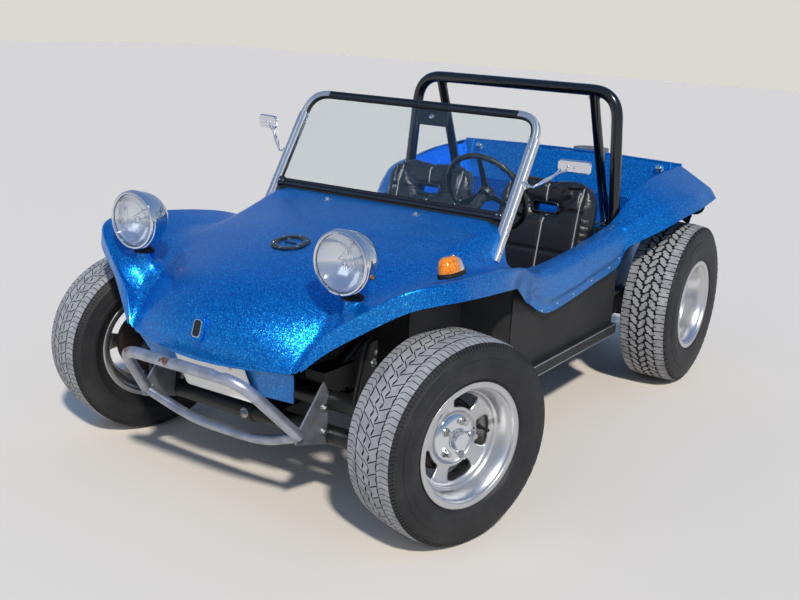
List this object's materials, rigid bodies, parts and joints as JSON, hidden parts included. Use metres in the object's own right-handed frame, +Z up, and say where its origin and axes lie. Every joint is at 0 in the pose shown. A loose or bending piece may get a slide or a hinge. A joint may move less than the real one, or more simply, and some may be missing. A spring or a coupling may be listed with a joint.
{
  "type": "dune buggy",
  "caption": "Open two-seat beach buggy with a moulded blue body, rear engine, hoop safety bar, flat windshield and wide slotted-alloy wheels; wheels roll and steer.",
  "frame": {"origin": "on the ground, under the centre of the whole vehicle, midway between the axles", "axes": "+X to the car's left, +Y to the rear along the longest side, +Z up; the front faces -Y"},
  "size_m": [1.8188, 3.062, 1.362],
  "materials": {
    "flake_paint": "metal-flake blue gel coat, clear and glossy",
    "black_paint": "satin black",
    "silver_paint": "silver paint, satin",
    "cast_alloy": "as cast",
    "polished_alloy": "polished",
    "tyre": "matt black rubber",
    "glass": "clear",
    "chrome": "bright",
    "vinyl": "black vinyl",
    "black_plastic": "black",
    "plate_metal": "white paint",
    "amber_lens": "translucent amber in a bright housing",
    "red_lens": "translucent red"
  },
  "bodies": {
    "chassis": {"body_sides": "flake_paint", "carburettor": "cast_alloy", "controls": "black_paint", "dash_panel": "flake_paint", "engine": "cast_alloy", "exhaust": "black_paint", "fan_shroud": "black_paint", "floor_pan": "black_paint", "front_arms": "black_paint", "front_beam": "black_paint", "front_bumper": "silver_paint", "front_fenders": "flake_paint", "fuel_filler": "black_plastic", "generator": "cast_alloy", "headlight_lenses": "glass", "headlights": "chrome", "hood": "flake_paint", "lower_tub": "black_paint", "mirrors": "chrome", "number_plate": "plate_metal", "rear_bumper": "black_paint", "rear_suspension": "black_paint", "rear_tub": "flake_paint", "roll_bar": "black_paint", "seats": "vinyl", "shock_absorbers": "black_paint", "steering_column": "black_paint", "tail_lights": "red_lens", "transaxle": "cast_alloy", "turn_signals": "amber_lens", "windshield_frame": "polished_alloy", "windshield_glass": "glass"},
    "knuckle_left": {"knuckle_left": "black_paint"},
    "knuckle_right": {"knuckle_right": "black_paint"},
    "drop_arm": {"drop_arm": "black_paint"},
    "tie_rods": {"tie_rods": "black_paint"},
    "steering_wheel": {"steering_wheel": "black_plastic"},
    "wheel_front_left": {"wheel_front_left": "polished_alloy", "tyre_front_left": "tyre"},
    "wheel_front_right": {"wheel_front_right": "polished_alloy", "tyre_front_right": "tyre"},
    "wheel_rear_left": {"wheel_rear_left": "polished_alloy", "tyre_rear_left": "tyre"},
    "wheel_rear_right": {"wheel_rear_right": "polished_alloy", "tyre_rear_right": "tyre"}
  },
  "joints": [
    {"name": "steer_left", "type": "hinge", "parent": "chassis", "child": "knuckle_left", "pos_m": [0.6, -1.016, 0.338], "axis": [0, 0, 1], "range_deg": [-11, 45]},
    {"name": "steer_right", "type": "hinge", "parent": "chassis", "child": "knuckle_right", "pos_m": [-0.6, -1.016, 0.338], "axis": [0, 0, 1], "range_deg": [-11, 45]},
    {"name": "drop_arm_turn", "type": "hinge", "parent": "chassis", "child": "drop_arm", "pos_m": [0.25, -1.016, 0.35], "axis": [0, 0, 1], "range_deg": [-11, 45]},
    {"name": "tie_rod_pivot", "type": "hinge", "parent": "knuckle_left", "child": "tie_rods", "pos_m": [0.63216, -0.91081, 0.33], "axis": [0, 0, 1], "range_deg": [-45, 11]},
    {"name": "steering_wheel_turn", "type": "hinge", "parent": "chassis", "child": "steering_wheel", "pos_m": [0.3, -0.145, 0.955], "axis": [0.0438, 0.8714, 0.4886], "range_deg": [-160, 650]},
    {"name": "wheel_spin_front_left", "type": "hinge", "parent": "knuckle_left", "child": "wheel_front_left", "pos_m": [0.6, -1.016, 0.338], "axis": [0.9563, -0.2924, 0], "continuous": true},
    {"name": "wheel_spin_front_right", "type": "hinge", "parent": "knuckle_right", "child": "wheel_front_right", "pos_m": [-0.6, -1.016, 0.338], "axis": [0.9563, -0.2924, 0], "continuous": true},
    {"name": "wheel_spin_rear_left", "type": "hinge", "parent": "chassis", "child": "wheel_rear_left", "pos_m": [0.702, 1.016, 0.372], "axis": [1, 0, 0], "continuous": true},
    {"name": "wheel_spin_rear_right", "type": "hinge", "parent": "chassis", "child": "wheel_rear_right", "pos_m": [-0.702, 1.016, 0.372], "axis": [1, 0, 0], "continuous": true}
  ],
  "couplings": [
    {"joint": "steer_right", "follows": "steer_left", "ratio": 1},
    {"joint": "drop_arm_turn", "follows": "steer_left", "ratio": 1},
    {"joint": "tie_rod_pivot", "follows": "steer_left", "ratio": -1},
    {"joint": "steering_wheel_turn", "follows": "steer_left", "ratio": 14.4}
  ]
}
